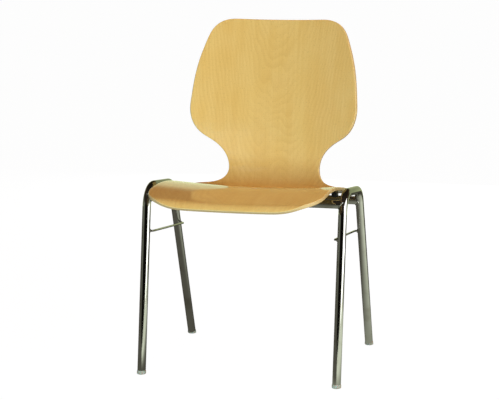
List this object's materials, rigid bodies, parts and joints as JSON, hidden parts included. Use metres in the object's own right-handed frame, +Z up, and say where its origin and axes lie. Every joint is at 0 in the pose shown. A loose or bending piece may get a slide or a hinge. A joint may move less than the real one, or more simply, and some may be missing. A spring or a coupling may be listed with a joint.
{
  "type": "stacking chair",
  "caption": "Stacking chair with a one-piece moulded plywood seat and back, waisted between the two, on a chromed steel tube frame with splayed rear legs and plastic foot glides.",
  "frame": {"origin": "bottom centre of the bounding box, on the floor between the four feet", "axes": "+Z up; the chair faces -Y, so +Y is towards its back; +X is on the right of someone who looks at the chair from the front, and the plane x = 0 is its plane of symmetry"},
  "size_m": [0.4922, 0.5203, 0.8207],
  "materials": {
    "shell_wood": "clear-lacquered beech veneer, satin",
    "frame_chrome": "polished chrome plate on steel tube",
    "wire_chrome": "polished chrome plate on steel wire",
    "glide_plastic": "grey moulded plastic",
    "spacer_plastic": "black moulded plastic",
    "screw_steel": "zinc-plated steel",
    "nut_steel": "zinc-plated steel"
  },
  "bodies": {
    "root": {"seat_back_shell": "shell_wood", "side_frame_left": "frame_chrome", "side_frame_right": "frame_chrome", "front_crossbar": "frame_chrome", "rear_crossbar": "frame_chrome", "wire_stay_left": "wire_chrome", "wire_stay_right": "wire_chrome", "foot_glide_front_left": "glide_plastic", "foot_glide_front_right": "glide_plastic", "foot_glide_rear_left": "glide_plastic", "foot_glide_rear_right": "glide_plastic", "spacer_front_left": "spacer_plastic", "spacer_front_right": "spacer_plastic", "spacer_rear_left": "spacer_plastic", "spacer_rear_right": "spacer_plastic", "screw_front_left": "screw_steel", "screw_front_right": "screw_steel", "screw_rear_left": "screw_steel", "screw_rear_right": "screw_steel", "insert_nut_front_left": "nut_steel", "insert_nut_front_right": "nut_steel", "insert_nut_rear_left": "nut_steel", "insert_nut_rear_right": "nut_steel"}
  },
  "joints": []
}
